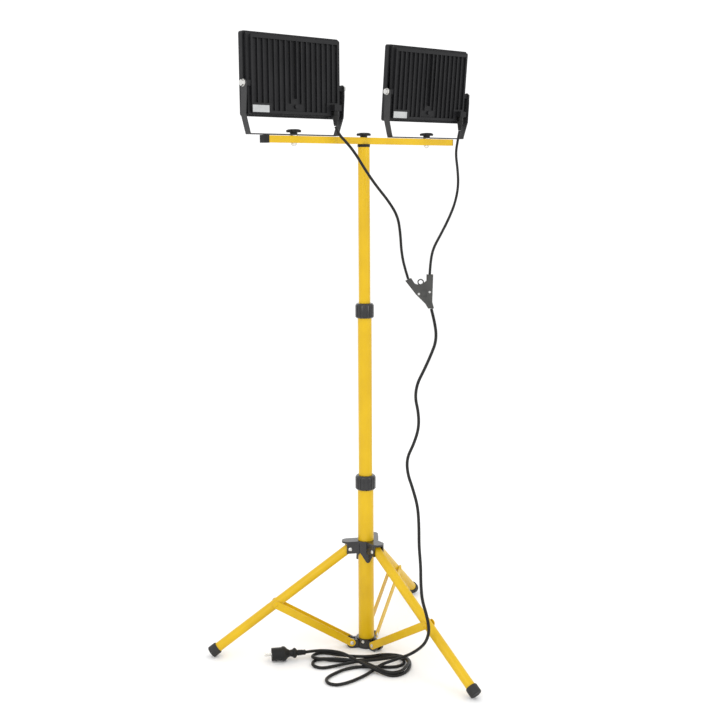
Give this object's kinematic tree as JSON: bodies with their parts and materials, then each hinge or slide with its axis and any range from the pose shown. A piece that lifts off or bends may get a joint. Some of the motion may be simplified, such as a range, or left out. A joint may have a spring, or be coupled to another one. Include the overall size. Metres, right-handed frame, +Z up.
{
  "type": "work light",
  "caption": "Twin LED floodlight work light on a crossbar, on a telescopic folding tripod, with leads, a junction and a coiled mains cable.",
  "frame": {"origin": "on the floor under the mast's axis, at the centre of the lower hub's underside", "axes": "+Z up along the mast, +X along the crossbar to the right lamp, +Y the way the lamps shine"},
  "size_m": [0.7702, 0.6674, 1.5891],
  "materials": {
    "yellow_paint": "glossy powder coat",
    "black_plastic": "satin",
    "zinc_steel": "zinc plated",
    "rubber": "matte",
    "nickel": "nickel plated",
    "black_paint": "fine satin powder coat",
    "cast_alloy": "black powder coat on die-cast alloy",
    "front_glass": "clear",
    "board_white": "white solder mask",
    "driver_case": "matte",
    "label_stock": "matte film"
  },
  "bodies": {
    "base": {"lower_tube": "yellow_paint", "lower_collet": "black_plastic", "lower_hub": "black_plastic", "lower_hub_screw": "zinc_steel", "lower_hub_rivets": "zinc_steel", "mains_cable": "rubber", "cord_hank": "rubber", "plug_body": "rubber", "plug_pins": "nickel"},
    "sliding_hub": {"upper_hub": "black_plastic", "upper_hub_rivets": "zinc_steel"},
    "hub_lock": {"hub_knob": "black_plastic"},
    "lower_clamp": {"lower_collar": "black_plastic"},
    "middle_mast": {"middle_tube": "yellow_paint", "upper_collet": "black_plastic"},
    "upper_clamp": {"upper_collar": "black_plastic"},
    "upper_mast": {"upper_tube": "yellow_paint", "mast_cap": "black_plastic"},
    "head": {"crossbar": "yellow_paint", "bar_cap_left": "black_plastic", "bar_plug_right": "black_plastic", "bar_bolts": "zinc_steel", "bar_nuts": "zinc_steel", "left_lead": "rubber", "right_lead": "rubber", "splitter": "rubber", "splitter_screws": "zinc_steel"},
    "centre_lock": {"centre_knob": "black_plastic"},
    "left_lock": {"left_knob": "black_plastic"},
    "right_lock": {"right_knob": "black_plastic"},
    "rear_leg_body": {"rear_leg": "yellow_paint", "rear_foot": "rubber"},
    "rear_brace_body": {"rear_brace": "yellow_paint"},
    "left_leg_body": {"left_leg": "yellow_paint", "left_foot": "rubber"},
    "left_brace_body": {"left_brace": "yellow_paint"},
    "right_leg_body": {"right_leg": "yellow_paint", "right_foot": "rubber"},
    "right_brace_body": {"right_brace": "yellow_paint"},
    "left_yoke": {"left_bracket": "black_paint"},
    "left_lamp": {"left_housing": "cast_alloy", "left_bezel": "cast_alloy", "left_glass": "front_glass", "left_seal": "rubber", "left_led_board": "board_white", "left_driver": "driver_case", "left_gland": "black_plastic", "left_label": "label_stock", "left_pivot_bolts": "zinc_steel"},
    "right_yoke": {"right_bracket": "black_paint"},
    "right_lamp": {"right_housing": "cast_alloy", "right_bezel": "cast_alloy", "right_glass": "front_glass", "right_seal": "rubber", "right_led_board": "board_white", "right_driver": "driver_case", "right_gland": "black_plastic", "right_label": "label_stock", "right_pivot_bolts": "zinc_steel"}
  },
  "joints": [
    {"name": "hub_slide", "type": "slide", "parent": "base", "child": "sliding_hub", "axis": [0, 0, 1], "range_m": [-0.04, 0.13]},
    {"name": "hub_lock_turn", "type": "hinge", "parent": "sliding_hub", "child": "hub_lock", "pos_m": [0.02513, -0.01638, 0.275], "axis": [0.8377, -0.5461, 0], "continuous": true},
    {"name": "rear_leg_fold", "type": "hinge", "parent": "sliding_hub", "child": "rear_leg_body", "pos_m": [-0.00243, -0.04493, 0.279], "axis": [0.9985, -0.0541, 0], "range_deg": [-6.1, 19.7]},
    {"name": "rear_brace_fold", "type": "hinge", "parent": "base", "child": "rear_brace_body", "pos_m": [-0.00227, -0.04194, 0.016], "axis": [-0.9985, 0.0541, 0], "range_deg": [-6.9, 22.1]},
    {"name": "left_leg_fold", "type": "hinge", "parent": "sliding_hub", "child": "left_leg_body", "pos_m": [-0.0377, 0.02457, 0.279], "axis": [-0.5461, -0.8377, 0], "range_deg": [-6.1, 19.7]},
    {"name": "left_brace_fold", "type": "hinge", "parent": "base", "child": "left_brace_body", "pos_m": [-0.03518, 0.02294, 0.016], "axis": [0.5461, 0.8377, 0], "range_deg": [-6.9, 22.1]},
    {"name": "right_leg_fold", "type": "hinge", "parent": "sliding_hub", "child": "right_leg_body", "pos_m": [0.04013, 0.02036, 0.279], "axis": [-0.4524, 0.8918, 0], "range_deg": [-6.1, 19.7]},
    {"name": "right_brace_fold", "type": "hinge", "parent": "base", "child": "right_brace_body", "pos_m": [0.03746, 0.019, 0.016], "axis": [0.4524, -0.8918, 0], "range_deg": [-6.9, 22.1]},
    {"name": "lower_collar_twist", "type": "hinge", "parent": "base", "child": "lower_clamp", "pos_m": [0, 0, 0.46], "axis": [0, 0, 1], "range_deg": [-90, 0]},
    {"name": "middle_slide", "type": "slide", "parent": "base", "child": "middle_mast", "axis": [0, 0, 1], "range_m": [-0.37, 0], "deforming": ["mains_cable"]},
    {"name": "upper_collar_twist", "type": "hinge", "parent": "middle_mast", "child": "upper_clamp", "pos_m": [0, 0, 0.917], "axis": [0, 0, 1], "range_deg": [-90, 0]},
    {"name": "upper_slide", "type": "slide", "parent": "middle_mast", "child": "upper_mast", "axis": [0, 0, 1], "range_m": [-0.385, 0], "deforming": ["mains_cable"]},
    {"name": "head_swivel", "type": "hinge", "parent": "upper_mast", "child": "head", "pos_m": [0, 0, 1.335], "axis": [0, 0, 1], "range_deg": [-90, 90], "deforming": ["mains_cable"]},
    {"name": "centre_knob_turn", "type": "hinge", "parent": "head", "child": "centre_lock", "pos_m": [0, 0, 1.362], "axis": [0, 0, 1], "continuous": true},
    {"name": "left_knob_turn", "type": "hinge", "parent": "head", "child": "left_lock", "pos_m": [-0.2275, 0, 1.362], "axis": [0, 0, 1], "continuous": true},
    {"name": "right_knob_turn", "type": "hinge", "parent": "head", "child": "right_lock", "pos_m": [0.2275, 0, 1.362], "axis": [0, 0, 1], "continuous": true},
    {"name": "left_lamp_swivel", "type": "hinge", "parent": "head", "child": "left_yoke", "pos_m": [-0.2275, 0, 1.3575], "axis": [0, 0, 1], "range_deg": [-90, 90], "deforming": ["left_lead"]},
    {"name": "left_lamp_tilt", "type": "hinge", "parent": "left_yoke", "child": "left_lamp", "pos_m": [-0.2275, -0.0055, 1.4707], "axis": [1, 0, 0], "range_deg": [-90, 90], "deforming": ["left_lead"]},
    {"name": "right_lamp_swivel", "type": "hinge", "parent": "head", "child": "right_yoke", "pos_m": [0.2275, 0, 1.3575], "axis": [0, 0, 1], "range_deg": [-90, 90], "deforming": ["right_lead"]},
    {"name": "right_lamp_tilt", "type": "hinge", "parent": "right_yoke", "child": "right_lamp", "pos_m": [0.2275, -0.0055, 1.4707], "axis": [1, 0, 0], "range_deg": [-95, 85], "deforming": ["right_lead"]}
  ],
  "couplings": [
    {"joint": "rear_leg_fold", "follows": "hub_slide", "rad_per_m": 2.62},
    {"joint": "rear_brace_fold", "follows": "hub_slide", "rad_per_m": 2.945},
    {"joint": "left_leg_fold", "follows": "hub_slide", "rad_per_m": 2.62},
    {"joint": "left_brace_fold", "follows": "hub_slide", "rad_per_m": 2.945},
    {"joint": "right_leg_fold", "follows": "hub_slide", "rad_per_m": 2.62},
    {"joint": "right_brace_fold", "follows": "hub_slide", "rad_per_m": 2.945}
  ]
}
